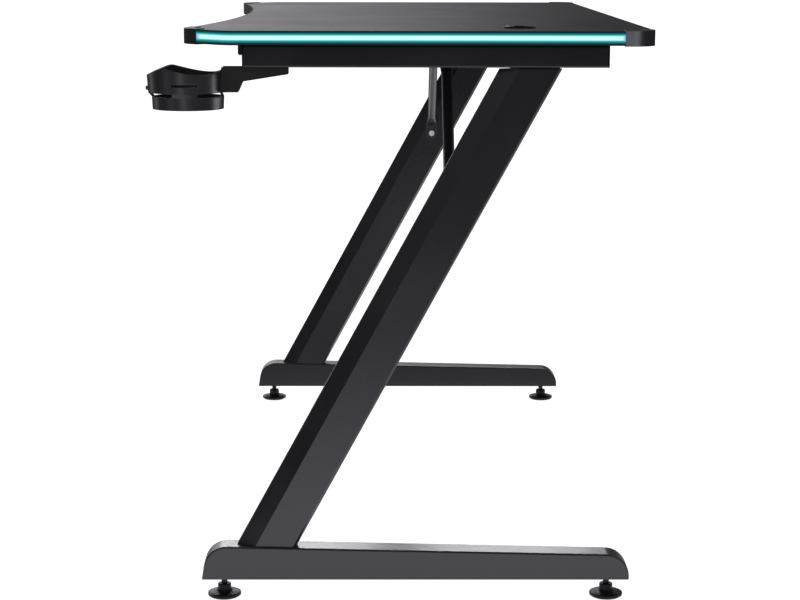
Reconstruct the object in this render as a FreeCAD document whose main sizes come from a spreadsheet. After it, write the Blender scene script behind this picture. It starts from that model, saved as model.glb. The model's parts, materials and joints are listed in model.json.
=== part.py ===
"""Gaming desk on two slanted legs: board with lit side edges, steel frame, cup holder and headphone hook.

Frame: X to the user's right, Y to the back, Z up, origin on the floor under the middle of the desktop.
"""
import FreeCAD, Part
import math
import os
import re
import Sketcher

Vector = FreeCAD.Vector

# Driving sizes: millimetres, degrees where the name ends in angle, and plain shares.
SIZES = {
    # desktop outline and board
    "desk_width": 1200,
    "desk_depth": 598,
    "desk_height": 742,
    "board_thickness": 18,
    "front_chamfer": 58,
    "chamfer_radius": 25,
    "tip_radius": 40,
    "waist_angle": 9.3,
    "rear_radius": 30,
    "edge_band": 2,
    "edge_depth": 8,
    # corner caps
    "cap_tail": 10.5,
    "front_cap_reach": 28,
    "cap_lip": 6,
    "cap_proud": 1,
    "lip_rebate": 0.5,
    "cap_round": 0.8,
    # lit edge profile
    "led_lip": 4.6,
    "led_window": 8,
    "led_web": 2,
    "diffuser_thickness": 3,
    "tape_height": 6,
    "tape_thickness": 0.8,
    # cable grommet
    "grommet_side_inset": 95,
    "grommet_rear_inset": 167,
    "grommet_flange_radius": 21,
    "grommet_flange": 2,
    "sleeve_radius": 18,
    "sleeve_wall": 1.6,
    "sleeve_tail": 3,
    "grommet_recess": 1,
    "grommet_ledge": 1.2,
    "lid_thickness": 2,
    "lid_skirt": 9,
    "lid_wall": 1.8,
    "lid_gap": 0.08,
    "cable_slot": 14,
    "cable_slot_start": 4,
    # top beams
    "frame_inset": 10,
    "beam_width": 40,
    "beam_height": 28,
    "beam_front_inset": 78.5,
    "beam_rear_inset": 58.5,
    "beam_wall": 1.5,
    "beam_radius": 3,
    "end_cap_flange": 2,
    "end_cap_plug": 12,
    "plug_gap": 0.3,
    # legs
    "leg_depth": 79.4,
    "leg_thickness": 30,
    "leg_crown_gap": 6.1,
    "leg_top_inset": 136.1,
    "leg_inset": 4,
    "leg_bevel": 24.5,
    "leg_nose": 8,
    "leg_rear_rise": 5.5,
    "leg_wall": 1.5,
    "leg_plate": 2,
    "leg_plate_width": 26,
    "leg_plate_front": 14,
    "leg_plate_rear": 4,
    "leg_bolt_spread": 32,
    # foot bars
    "foot_front_inset": 17.3,
    "foot_rear_inset": 19.4,
    "foot_width": 34.5,
    "foot_clearance": 27,
    "foot_front_height": 44.5,
    "foot_rear_height": 34.1,
    "foot_nose_lean_angle": 9,
    "foot_end_radius": 30,
    "foot_wall": 2.5,
    "foot_edge": 2.2,
    # levelling feet
    "pad_inset": 28.5,
    "pad_radius": 21.8,
    "pad_sole_radius": 19,
    "pad_rim_low": 2,
    "pad_rim_high": 5,
    "pad_shoulder": 8.5,
    "pad_top": 17.5,
    "collar_radius": 8.7,
    "stud_radius": 4,
    "stud_seat": 6,
    "stud_reach": 20,
    "nut_block_length": 30,
    "nut_block_height": 8,
    "thread_gap": 0.06,
    # crossbeam and braces
    "brace_hole_depth": 41.5,
    "cross_width": 30,
    "cross_plate": 3,
    "cross_plate_length": 74,
    "cross_plate_margin": 1,
    "cross_bolt_spread": 54,
    "brace_radius": 7.5,
    "brace_drop": 176,
    "brace_flat_run": 28,
    "brace_tab": 4,
    "brace_tab_width": 22,
    "brace_screw_offset": 15,
    # cup holder
    "cup_reach": 69.9,
    "cup_drop": 52.8,
    "cup_rim_radius": 48.8,
    "cup_collar_radius": 46.8,
    "cup_ring_radius": 45.6,
    "cup_base_radius": 44.9,
    "cup_lean": 3.4,
    "cup_wall": 2.6,
    "cup_floor": 3,
    "cup_front_dip": 10,
    "cup_side_dip": 8.5,
    "cup_slot_low": 15.8,
    "cup_slot_height": 5,
    "cup_window_low": 28.9,
    "cup_window_height": 3.7,
    "bridge_half_angle": 20,
    "end_bridge_half_angle": 8,
    "cup_knob_radius": 2.75,
    "cup_knob_reach": 3.1,
    "cup_knob_height": 26,
    "arm_width": 28,
    "arm_reach": 57,
    "arm_tip": 8.9,
    "arm_root": 18,
    "arm_drop": 31.6,
    "arm_step_run": 6.2,
    "cup_screw_spread": 16,
    "cup_screw_height": 36,
    # headphone hook
    "hook_width": 30,
    "hook_reach": 92.5,
    "hook_drop": 49,
    "hook_lip": 7,
    "hook_gap": 54,
    "hook_shank": 12,
    "hook_floor": 8,
    "hook_lip_height": 27,
    "hook_outer_radius": 4,
    "hook_inner_radius": 4,
    # controller for the lit edges
    "controller_side_inset": 200,
    "controller_front_inset": 94,
    "controller_length": 84,
    "controller_depth": 38,
    "controller_height": 18,
    "controller_wall": 2,
    "controller_ear": 11,
    "controller_ear_thickness": 3,
    "circuit_thickness": 1.6,
    "circuit_gap": 0.5,
    "circuit_post": 4,
    "switch_size": 6,
    "switch_height": 6,
    "button_radius": 5,
    "button_gap": 0.08,
    "button_proud": 2.5,
    "button_flange": 1.2,
    "button_flange_rim": 1.3,
    "button_travel": 1.2,
    "inlet_radius": 4.5,
    "inlet_bore": 2.8,
    "inlet_pin": 1,
    "inlet_depth": 11,
    # fasteners
    "socket_share": 0.7,
    "socket_depth_share": 0.6,
    "wood_screw_radius": 2.5,
    "wood_screw_head": 5,
    "wood_screw_bite": 12,
    "frame_bolt_radius": 4,
    "frame_bolt_head": 6.5,
    "frame_bolt_head_height": 5,
    "weld_nut_radius": 7,
    "weld_nut_height": 6.5,
    "small_bolt_radius": 3,
    "small_bolt_head": 5,
    "small_bolt_bite": 8,
    "small_bolt_head_height": 3.5,
    "arm_screw_radius": 2.5,
    "arm_screw_head": 4.5,
    "arm_screw_head_height": 3,
    "arm_screw_rear": 14,
    "arm_screw_spread": 26,
    "arm_screw_cover": 4.5,
    "arm_screw_bite": 12,
    "tiny_screw_radius": 1.5,
    "tiny_screw_head": 3,
    "tiny_screw_head_height": 2,
    "tiny_screw_bite": 8,
    # clearances shared by fits
    "fit_gap": 0.1,
    "bolt_gap": 0.2,
    "head_gap": 0.5,
    # places of the screws into the board
    "desk_screw_gap": 23,
    "cross_screw_x": 80,
}

# Places that follow from the sizes above.
DERIVED = {
    "half_width": "desk_width / 2",
    "rear_y": "desk_depth / 2",
    "front_y": "-desk_depth / 2",
    "board_low": "desk_height - board_thickness",
    "tip_x": "half_width - front_chamfer - (sqrt(2) - 1) * tip_radius",
    "tip_y": "front_y + tip_radius",
    "turn_x": "half_width - chamfer_radius",
    "turn_y": "front_y + front_chamfer + tan(22.5) * chamfer_radius",
    "front_cap_x": "tip_x - tip_radius * sin(waist_angle) - front_cap_reach * cos(waist_angle)",
    "waist_radius": "front_cap_x / sin(waist_angle)",
    "frame_x": "half_width - frame_inset",
    "beam_x": "frame_x - beam_width / 2",
    "beam_low": "board_low - beam_height",
    "beam_front": "front_y + beam_front_inset",
    "beam_back": "rear_y - beam_rear_inset",
    "beam_inner": "frame_x - beam_width",
    "leg_x": "frame_x - leg_inset - leg_thickness / 2",
    "leg_inner": "leg_x - leg_thickness / 2",
    "leg_top": "beam_low - leg_plate",
    "leg_start": "foot_clearance + foot_rear_height - foot_wall",
    "leg_start_y": "foot_crown_y + leg_crown_gap",
    "leg_slope": "(beam_back - leg_top_inset - leg_start_y) / (beam_low - leg_start)",
    "leg_top_front": "leg_start_y + leg_slope * (leg_top - leg_start)",
    "leg_bolt_y": "leg_top_front + leg_depth / 2",
    "foot_x": "frame_x - foot_width / 2",
    "foot_front": "front_y + foot_front_inset",
    "foot_back": "rear_y - foot_rear_inset",
    "nose_low": "foot_front_height - foot_end_radius",
    "tail_low": "foot_rear_height - foot_end_radius",
    "nose_rise": "nose_low + foot_end_radius * sin(foot_nose_lean_angle)",
    "nose_shift": "nose_rise * tan(foot_nose_lean_angle)",
    "nose_y": "foot_front + nose_shift + foot_end_radius * cos(foot_nose_lean_angle)",
    "tail_y": "foot_back - foot_end_radius",
    "foot_slope_angle": "atan((nose_low - tail_low) / (tail_y - nose_y))",
    "foot_across": "foot_end_radius * sin(foot_slope_angle)",
    "foot_above": "foot_end_radius * cos(foot_slope_angle)",
    "foot_crown_y": "nose_y + foot_across",
    "foot_crown_z": "foot_clearance + nose_low + foot_above",
    "foot_tail_y": "tail_y + foot_across",
    "foot_tail_z": "foot_clearance + tail_low + foot_above",
    "pad_front_y": "foot_front + pad_inset",
    "pad_back_y": "foot_back - pad_inset",
    "cross_half": "beam_inner - cross_plate",
    "brace_low": "beam_low - brace_drop",
    "brace_screw_z": "brace_low - brace_screw_offset",
    "cross_y": "leg_start_y + leg_slope * (brace_screw_z - leg_start) + brace_hole_depth",
    "brace_rise": "brace_drop - brace_tab / 2",
    "brace_x": "leg_inner - brace_tab / 2",
    "brace_top_x": "brace_x - brace_rise",
    "brace_length": "brace_rise * sqrt(2)",
    "cup_y": "beam_front - cup_reach",
    "cup_low": "beam_low - cup_drop",
    "arm_rear": "beam_front + arm_reach",
    "arm_screw_y": "arm_rear - arm_screw_rear",
    "hook_front": "beam_front - hook_reach",
    "hook_low": "beam_low - hook_drop",
    "hook_shank_front": "hook_front + hook_lip + hook_gap",
    "hook_shank_rear": "hook_shank_front + hook_shank",
    "cup_collar": "cup_slot_low + cup_slot_height",
    "cup_screw_share": "(cup_screw_height - arm_screw_head - cup_collar) / (cup_drop - cup_collar)",
    "cup_flare": "cup_rim_radius - cup_collar_radius",
    "cup_screw_radius": "cup_collar_radius - cup_wall + cup_screw_share * cup_flare",
    "cup_screw_reach": "cup_screw_spread / 2 + arm_screw_head",
    "cup_screw_depth": "sqrt(cup_screw_radius^2 - cup_screw_reach^2) - cup_lean",
    "cup_screw_y": "cup_y + cup_screw_depth - fit_gap",
    "controller_x": "half_width - controller_side_inset",
    "controller_y": "front_y + controller_front_inset",
    "controller_low": "board_low - controller_height",
    "controller_front": "controller_y - controller_depth / 2",
    "controller_back": "controller_y + controller_depth / 2",
    "circuit_low": "controller_low + controller_wall + circuit_post",
    "circuit_top": "circuit_low + circuit_thickness",
    "circuit_front": "button_inside + fit_gap + button_flange + button_travel + circuit_gap",
    "button_z": "circuit_top + switch_size / 2",
    "inlet_z": "circuit_top + inlet_radius + fit_gap",
    "button_inside": "controller_front + controller_wall",
    "window_low": "desk_height - led_lip - led_window",
    "lip_seat": "desk_height - lip_rebate",
    "grommet_x": "half_width - grommet_side_inset",
    "grommet_y": "rear_y - grommet_rear_inset",
    "sleeve_bore": "sleeve_radius - sleeve_wall",
    "lid_radius": "sleeve_bore + grommet_ledge - lid_gap",
    "lid_low": "desk_height + grommet_flange - grommet_recess + fit_gap",
    "desk_screw_front_y": "arm_rear + desk_screw_gap",
    "plate_rear_y": "leg_top_front + leg_depth - leg_plate_rear",
    "plug_front_y": "beam_back - end_cap_flange - end_cap_plug",
    "desk_screw_rear_y": "(plate_rear_y + plug_front_y) / 2",
}

SIDES = {"right": 1, "left": -1}
ENDS = ("front", "rear")
UP = Vector(0, 0, 1)
DOWN = Vector(0, 0, -1)

doc = FreeCAD.newDocument("gaming_desk")
sheet = doc.addObject("Spreadsheet::Sheet", "dim")
for row, (alias, size) in enumerate(SIZES.items(), start=1):
    sheet.set(f"A{row}", alias)
    sheet.set(f"B{row}", str(size))
    sheet.setAlias(f"B{row}", alias)
doc.recompute()


# Formulas: plain names of sizes and places become expressions on the sheet.
def formula(text):
    """Give the expression for a formula written with the names of sizes and derived places."""
    def swap(match):
        word = match[0]
        if word in SIZES:
            return "dim." + word
        if word in DERIVED:
            return "(" + formula(DERIVED[word]) + ")"
        return word
    return re.sub(r"[A-Za-z_]\w*", swap, str(text))


def value(text):
    """Give the number that a formula stands for."""
    return float(sheet.evalExpression(formula(text)))


def bind(thing, **formulas):
    """Tie an object's properties to formulas."""
    for name, text in formulas.items():
        thing.setExpression(name, formula(text))


def put(thing, at, rotation=None):
    """Turn an object and tie its place to three formulas."""
    if rotation is not None:
        thing.Placement = FreeCAD.Placement(Vector(), rotation)
    for axis, text in zip("xyz", at):
        thing.setExpression("Placement.Base." + axis, formula(text))


# Primitives and booleans.
def box(name, size, low):
    """Make a block from its three sizes and its lowest corner."""
    block = doc.addObject("Part::Box", name)
    bind(block, Length=size[0], Width=size[1], Height=size[2])
    put(block, low)
    return block


def rod(name, radius, length, start, direction=UP):
    """Make a round bar that starts at a point and runs along a direction."""
    bar = doc.addObject("Part::Cylinder", name)
    bind(bar, Radius=radius, Height=length)
    put(bar, start, FreeCAD.Rotation(UP, direction))
    return bar


def group(name, members):
    """Gather objects into one compound."""
    gathered = doc.addObject("Part::Compound", name)
    gathered.Links = members
    return gathered


def cut(name, base, tools):
    """Take tools away from a base."""
    result = doc.addObject("Part::Cut", name)
    result.Base = base
    result.Tool = tools[0] if len(tools) == 1 else group(name + "_tools", tools)
    return result


def fuse(name, members):
    """Join objects into one solid."""
    result = doc.addObject("Part::MultiFuse", name)
    result.Shapes = members
    result.Refine = True
    return result


def screw(name, seat, direction, shank, bite, head, head_height):
    """Make a socket screw whose head sits at a point and whose shank runs along a direction."""
    stem = rod(name + "_shank", shank, bite, seat, direction)
    cap = rod(name + "_head", head, head_height, seat, -direction)
    socket = doc.addObject("Part::Prism", name + "_socket")
    socket.Polygon = 6
    bind(socket, Circumradius=f"socket_share * {shank}", Height=f"socket_depth_share * {head_height}")
    face = [f"{place} - {way} * {head_height}" for place, way in zip(seat, direction)]
    put(socket, face, FreeCAD.Rotation(UP, direction))
    return cut(name, fuse(name + "_blank", [stem, cap]), [socket])


# Sketches: each corner is (x, y) or (x, y, (radius, turn)), where the arc leaves that corner and
# turn is 1 for an arc to the left of the way round and -1 for one to the right.
def short_arc(here, there, radius, turn):
    """Make the short arc between two points."""
    chord = there - here
    half = chord.Length / 2
    left = Vector(-chord.y, chord.x, 0).normalize()
    centre = (here + there) * 0.5 + left * turn * math.sqrt(max(radius * radius - half * half, 0))
    ends = (here, there) if turn > 0 else (there, here)
    start, finish = (math.atan2(end.y - centre.y, end.x - centre.x) for end in ends)
    if finish < start:
        finish += 2 * math.pi
    return Part.ArcOfCircle(Part.Circle(centre, UP, radius), start, finish)


def hold_point(sketch, index, end, x, y):
    """Tie a point of a sketch to two formulas."""
    for kind, text in (("DistanceX", x), ("DistanceY", y)):
        number = sketch.addConstraint(Sketcher.Constraint(kind, -1, 1, index, end, value(text)))
        sketch.setExpression(f"Constraints[{number}]", formula(text))


def hold_radius(sketch, index, text):
    """Tie the radius of an arc or circle to a formula."""
    number = sketch.addConstraint(Sketcher.Constraint("Radius", index, value(text)))
    sketch.setExpression(f"Constraints[{number}]", formula(text))


def draw_loop(sketch, corners):
    """Draw a closed loop of lines and arcs with every corner tied to formulas."""
    spots = [Vector(value(corner[0]), value(corner[1]), 0) for corner in corners]
    ends = []
    for number, corner in enumerate(corners):
        here = spots[number]
        there = spots[(number + 1) % len(spots)]
        if len(corner) == 2:
            shape = Part.LineSegment(here, there)
        else:
            radius, turn = corner[2]
            shape = short_arc(here, there, value(radius), turn)
        index = sketch.addGeometry(shape, False)
        drawn = sketch.Geometry[index]
        forward = drawn.StartPoint.distanceToPoint(here) < drawn.EndPoint.distanceToPoint(here)
        ends.append((index, 1, 2) if forward else (index, 2, 1))
    for number, corner in enumerate(corners):
        index, first, last = ends[number]
        following = ends[(number + 1) % len(ends)]
        sketch.addConstraint(Sketcher.Constraint("Coincident", index, last, following[0], following[1]))
        hold_point(sketch, index, first, corner[0], corner[1])
        if len(corner) == 3:
            hold_radius(sketch, index, corner[2][0])


def draw_circle(sketch, x, y, radius):
    """Draw a circle tied to formulas."""
    circle = Part.Circle(Vector(value(x), value(y), 0), UP, value(radius))
    index = sketch.addGeometry(circle, False)
    hold_point(sketch, index, 3, x, y)
    hold_radius(sketch, index, radius)


def new_body(name):
    """Start a body."""
    return doc.addObject("PartDesign::Body", name)


def new_sketch(body, plane, name, offset="0"):
    """Start a sketch on one of a body's origin planes, moved along that plane's normal."""
    sketch = body.newObject("Sketcher::SketchObject", f"{body.Name}_{name}")
    support = [feature for feature in body.Origin.OriginFeatures if feature.Role == plane][0]
    sketch.AttachmentSupport = [(support, "")]
    sketch.MapMode = "FlatFace"
    sketch.setExpression("AttachmentOffset.Base.z", formula(offset))
    return sketch


def loops_on(body, plane, name, loops, offset="0"):
    """Make a sketch of closed loops."""
    sketch = new_sketch(body, plane, name, offset)
    for corners in loops:
        draw_loop(sketch, corners)
    return sketch


def pad(body, sketch, length):
    """Raise a sketch along its plane's normal."""
    feature = body.newObject("PartDesign::Pad", sketch.Name + "_pad")
    feature.Profile = sketch
    bind(feature, Length=length)
    return feature


def pocket(body, sketch, length):
    """Cut a sketch into the body against its plane's normal."""
    feature = body.newObject("PartDesign::Pocket", sketch.Name + "_pocket")
    feature.Profile = sketch
    bind(feature, Length=length)
    return feature


def revolve(body, sketch):
    """Turn a sketch on the XZ plane round the body's Z axis."""
    feature = body.newObject("PartDesign::Revolution", sketch.Name + "_turn")
    feature.Profile = sketch
    feature.ReferenceAxis = (sketch, ["V_Axis"])
    feature.Angle = 360
    return feature


def round_edges(body, feature, radius, chosen):
    """Round the edges of a body's feature that a test picks."""
    doc.recompute()
    names = [f"Edge{number}" for number, edge in enumerate(feature.Shape.Edges, start=1) if chosen(edge)]
    rounding = body.newObject("PartDesign::Fillet", body.Name + "_round")
    rounding.Base = (feature, names)
    bind(rounding, Radius=radius)
    return rounding


def prism(name, plane, loops, offset, length):
    """Make a body from one raised sketch."""
    body = new_body(name)
    pad(body, loops_on(body, plane, "outline", loops, offset), length)
    return body


def between_y(body, name, loops, low, high):
    """Raise loops drawn in X and Z between two places along Y."""
    return pad(body, loops_on(body, "XZ_Plane", name, loops, f"-({high})"), f"({high}) - ({low})")


def rounded_rectangle(x, y, width, height, radius):
    """Give the corners of a rectangle with round corners about a centre."""
    corners = []
    for along_x, along_y, first_x in ((1, -1, True), (1, 1, False), (-1, 1, True), (-1, -1, False)):
        edge_x = f"{x} + {along_x} * ({width} / 2)"
        edge_y = f"{y} + {along_y} * ({height} / 2)"
        short_x = f"{edge_x} - {along_x} * ({radius})"
        short_y = f"{edge_y} - {along_y} * ({radius})"
        before = (short_x, edge_y) if first_x else (edge_x, short_y)
        after = (edge_x, short_y) if first_x else (short_x, edge_y)
        corners.append((*before, (radius, 1)))
        corners.append(after)
    return corners


# The desktop's edge: stations from the back, round the right side, to the front, and the caps' spans.
STATIONS = (
    "cap_back", "rear_start", "rear_end", "cap_side", "turn_start",
    "turn_end", "tip_cap", "tip_start", "tip_end", "cap_front",
)
ARCS = {
    "rear_start": ("rear_radius - ({0})", -1),
    "turn_start": ("chamfer_radius - ({0})", -1),
    "tip_start": ("tip_radius - ({0})", -1),
}
CAP_SPANS = {"front": ("tip_cap", "cap_front"), "rear": ("cap_back", "cap_side")}


def station(name, depth, side):
    """Give the place of a station of the edge, a depth inside the outline, on one side."""
    turn = f"(chamfer_radius - ({depth})) * sqrt(0.5)"
    tip = f"(tip_radius - ({depth}))"
    places = {
        "cap_back": ("half_width - rear_radius - cap_tail", f"rear_y - ({depth})"),
        "rear_start": ("half_width - rear_radius", f"rear_y - ({depth})"),
        "rear_end": (f"half_width - ({depth})", "rear_y - rear_radius"),
        "cap_side": (f"half_width - ({depth})", "rear_y - rear_radius - cap_tail"),
        "turn_start": (f"half_width - ({depth})", "turn_y"),
        "turn_end": (f"turn_x + {turn}", f"turn_y - {turn}"),
        "tip_cap": (f"tip_x + ({tip} + cap_tail) * sqrt(0.5)", f"tip_y - ({tip} - cap_tail) * sqrt(0.5)"),
        "tip_start": (f"tip_x + {tip} * sqrt(0.5)", f"tip_y - {tip} * sqrt(0.5)"),
        "tip_end": (f"tip_x - {tip} * sin(waist_angle)", f"tip_y - {tip} * cos(waist_angle)"),
        "cap_front": (f"tip_x - {tip} * sin(waist_angle) - front_cap_reach * cos(waist_angle)",
                      f"tip_y - {tip} * cos(waist_angle) + front_cap_reach * sin(waist_angle)"),
    }
    x, y = places[name]
    return f"{side} * ({x})", y


def edge_run(first, last, depth, side):
    """List the corners of the edge from one station to another, with the arcs between them."""
    run = []
    names = STATIONS[STATIONS.index(first):STATIONS.index(last) + 1]
    for name in names:
        place = station(name, depth, side)
        if name in ARCS and name != last:
            radius, turn = ARCS[name]
            place = (*place, (radius.format(depth), turn * side))
        run.append(place)
    return run


def backwards(run):
    """Turn a run of corners round, arcs included."""
    turned = []
    for number in range(len(run) - 1, -1, -1):
        place = run[number][:2]
        before = run[number - 1] if number else ()
        if len(before) == 3:
            radius, turn = before[2]
            place = (*place, (radius, -turn))
        turned.append(place)
    return turned


def strip(first, last, near, far, side):
    """Give the closed strip of the desktop's edge between two stations and two depths."""
    return edge_run(first, last, near, side) + backwards(edge_run(first, last, far, side))


def desktop_board():
    """Board with seats for the caps and lit edges, rebates for their lips, a grommet hole and pilots."""
    body = new_body("board_blank")
    in_line = ("cap_back", "cap_side", "tip_cap")
    right, left = (
        [corner for name, corner in zip(STATIONS, edge_run("cap_back", "cap_front", "edge_band", side))
         if name not in in_line]
        for side in SIDES.values()
    )
    right[-1] = (*right[-1], ("waist_radius + edge_band", 1))
    outline = loops_on(body, "XY_Plane", "outline", [right + backwards(left)], "board_low")
    pad(body, outline, "board_thickness")
    for name, side in SIDES.items():
        seat = strip("cap_back", "cap_front", "-edge_depth", "edge_depth + fit_gap", side)
        pocket(body, loops_on(body, "XY_Plane", name + "_seat", [seat], "desk_height"), "board_thickness")
        rebates = [strip(*span, "0", "edge_depth + cap_lip + fit_gap", side) for span in CAP_SPANS.values()]
        pocket(body, loops_on(body, "XY_Plane", name + "_rebates", rebates, "desk_height"), "lip_rebate")
    for name, radius, depth in (("flange_rebate", "grommet_flange_radius", "lip_rebate"),
                                ("grommet_hole", "sleeve_radius", "board_thickness")):
        hole = new_sketch(body, "XY_Plane", name, "desk_height")
        draw_circle(hole, "grommet_x", "grommet_y", f"{radius} + fit_gap")
        pocket(body, hole, depth)
    pilots = [rod("pilot", "wood_screw_radius + fit_gap", "wood_screw_bite + fit_gap", (x, y, "board_low"))
              for x, y in desk_screw_places()]
    pilots += [rod("pilot", "tiny_screw_radius + fit_gap", "tiny_screw_bite + fit_gap", (x, y, "board_low"))
               for x, y in controller_screw_places()]
    return {"desktop_board": cut("desktop_board", body, pilots)}


def edge_bands():
    """Thin bands that cover the front and rear edges of the board between the caps."""
    waist = [
        (*station("cap_front", "0", 1), ("waist_radius", 1)),
        station("cap_front", "0", -1),
        (*station("cap_front", "edge_band", -1), ("waist_radius + edge_band", -1)),
        station("cap_front", "edge_band", 1),
    ]
    rear = [station("cap_back", "0", 1), station("cap_back", "edge_band", 1),
            station("cap_back", "edge_band", -1), station("cap_back", "0", -1)]
    return {
        "front_edge_band": prism("front_edge_band", "XY_Plane", [waist], "board_low", "board_thickness"),
        "rear_edge_band": prism("rear_edge_band", "XY_Plane", [rear], "board_low", "board_thickness"),
    }


def corner_caps():
    """Caps that grip the four corners of the board with a thin lip above and below."""
    made = {}
    for end, (first, last) in CAP_SPANS.items():
        for name, side in SIDES.items():
            label = f"corner_cap_{end}_{name}"
            body = new_body(label)
            whole = strip(first, last, "0", "edge_depth + cap_lip", side)
            outline = loops_on(body, "XY_Plane", "outline", [whole], "board_low - cap_proud")
            block = pad(body, outline, "board_thickness + 2 * cap_proud")
            spots = [Vector(value(x), value(y), 0) for x, y, *_ in edge_run(first, last, "0", side)]
            round_edges(body, block, "cap_round", lambda edge: outer_rim(edge, spots))
            mouth = strip(first, last, "edge_depth", "edge_depth + 2 * cap_lip", side)
            opening = loops_on(body, "XY_Plane", "mouth", [mouth], "lip_seat")
            pocket(body, opening, "board_thickness - lip_rebate")
            made[label] = body
    return made


def outer_rim(edge, spots):
    """Tell whether a level edge runs between two places on the outline."""
    if edge.BoundBox.ZLength > 1e-6:
        return False
    ends = [Vector(vertex.X, vertex.Y, 0) for vertex in edge.Vertexes]
    return all(any(spot.distanceToPoint(end) < 1e-3 for spot in spots) for end in ends)


def lit_edges():
    """Channel, LED tape and diffuser along each side of the board, between the caps."""
    made = {}
    tape_far = "edge_depth - led_web - fit_gap"
    for name, side in SIDES.items():
        span = ("cap_side", "tip_cap")
        channel = new_body(f"led_channel_{name}")
        outline = strip(*span, "0", "edge_depth", side)
        pad(channel, loops_on(channel, "XY_Plane", "outline", [outline], "board_low"), "board_thickness")
        window = strip(*span, "-led_web", "edge_depth - led_web", side)
        top = "window_low + led_window"
        pocket(channel, loops_on(channel, "XY_Plane", "window", [window], top), "led_window")
        made[channel.Name] = channel
        tape = strip(*span, f"{tape_far} - tape_thickness", tape_far, side)
        low = "window_low + (led_window - tape_height) / 2"
        label = f"led_tape_{name}"
        made[label] = prism(label, "XY_Plane", [tape], low, "tape_height")
        label = f"led_diffuser_{name}"
        lens = strip(*span, "0", "diffuser_thickness", side)
        made[label] = prism(label, "XY_Plane", [lens], "window_low", "led_window")
    return made


def cable_grommet():
    """Round sleeve in the board and the lid that turns in it, with a slot for cables."""
    sleeve = new_body("grommet_sleeve")
    low = "board_low - sleeve_tail"
    top = "desk_height + grommet_flange"
    ledge = f"{top} - grommet_recess"
    profile = [
        ("sleeve_bore", low), ("sleeve_radius", low), ("sleeve_radius", "lip_seat"),
        ("grommet_flange_radius", "lip_seat"), ("grommet_flange_radius", top),
        ("sleeve_bore + grommet_ledge", top), ("sleeve_bore + grommet_ledge", ledge), ("sleeve_bore", ledge),
    ]
    revolve(sleeve, loops_on(sleeve, "XZ_Plane", "profile", [profile]))
    put(sleeve, ("grommet_x", "grommet_y", "0"))
    lid = new_body("lid_blank")
    skirt = "sleeve_bore - lid_gap"
    lid_top = "lid_low + lid_thickness"
    profile = [
        ("0", "lid_low"), (f"{skirt} - lid_wall", "lid_low"), (f"{skirt} - lid_wall", "lid_low - lid_skirt"),
        (skirt, "lid_low - lid_skirt"), (skirt, "lid_low"), ("lid_radius", "lid_low"),
        ("lid_radius", f"{lid_top} - lid_thickness / 2"), ("lid_radius - lid_thickness / 2", lid_top),
        ("0", lid_top),
    ]
    revolve(lid, loops_on(lid, "XZ_Plane", "profile", [profile]))
    put(lid, ("grommet_x", "grommet_y", "0"))
    slot_low = ("grommet_x + cable_slot_start", "grommet_y - cable_slot / 2", "lid_low - lid_skirt - fit_gap")
    slot_size = ("grommet_flange_radius", "cable_slot", "lid_skirt + 2 * lid_thickness")
    slot = box("cable_slot", slot_size, slot_low)
    return {"grommet_sleeve": sleeve, "grommet_lid": cut("grommet_lid", lid, [slot])}


def desk_screw_places():
    """Places of the wood screws that hold the board: three in each beam and one pair in the crossbeam."""
    places = []
    for side in SIDES.values():
        for y in ("desk_screw_front_y", "cross_y", "desk_screw_rear_y"):
            places.append((f"{side} * beam_x", y))
        places.append((f"{side} * cross_screw_x", "cross_y"))
    return places


def desktop_screws():
    """Wood screws inside the frame's tubes that hold the board down on them."""
    screws = [
        screw("desk_screw", (x, y, "board_low - beam_wall"), UP, "wood_screw_radius",
              "beam_wall + wood_screw_bite", "wood_screw_head", "small_bolt_head_height")
        for x, y in desk_screw_places()
    ]
    return {"desktop_screws": group("desktop_screws", screws)}


def desk_screw_holes(x, y):
    """Give a wood screw's hole in a tube's top wall and the wider hole below it that lets the head in."""
    wall = "beam_wall + 2 * fit_gap"
    return [
        rod("screw_hole", "wood_screw_radius + bolt_gap", wall, (x, y, "board_low + fit_gap"), DOWN),
        rod("head_hole", "wood_screw_head + head_gap", wall, (x, y, "beam_low - fit_gap")),
    ]


def top_beams():
    """Rectangular tube under each side of the board, with its holes."""
    made = {}
    for name, side in SIDES.items():
        x = f"{side} * beam_x"
        middle = "beam_low + beam_height / 2"
        blank = new_body(f"beam_blank_{name}")
        outer = rounded_rectangle(x, middle, "beam_width", "beam_height", "beam_radius")
        inner = rounded_rectangle(x, middle, "(beam_width - 2 * beam_wall)", "(beam_height - 2 * beam_wall)",
                                  "beam_radius - beam_wall")
        ends = ("beam_front + end_cap_flange", "beam_back - end_cap_flange")
        between_y(blank, "section", [outer, inner], *ends)
        below = "beam_low - fit_gap"
        wall = "beam_wall + 2 * fit_gap"
        holes = []
        for screw_x, screw_y in desk_screw_places():
            if screw_x == x:
                holes += desk_screw_holes(screw_x, screw_y)
        for y in leg_bolt_places():
            over = (f"{side} * leg_x", y, "board_low + fit_gap")
            under = (f"{side} * leg_x", y, below)
            holes.append(rod("bolt_hole", "frame_bolt_radius + bolt_gap", wall, under))
            holes.append(rod("access_hole", "frame_bolt_head + head_gap", wall, over, DOWN))
        for y in arm_screw_places():
            holes.append(rod("arm_hole", "arm_screw_radius + bolt_gap", wall, (x, y, below)))
        for y in cross_bolt_places():
            start = (f"{side} * (beam_inner - fit_gap)", y, middle)
            holes.append(rod("cross_hole", "small_bolt_radius + bolt_gap", wall, start, Vector(side, 0, 0)))
        made[f"top_beam_{name}"] = cut(f"top_beam_{name}", blank, holes)
    return made


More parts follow.
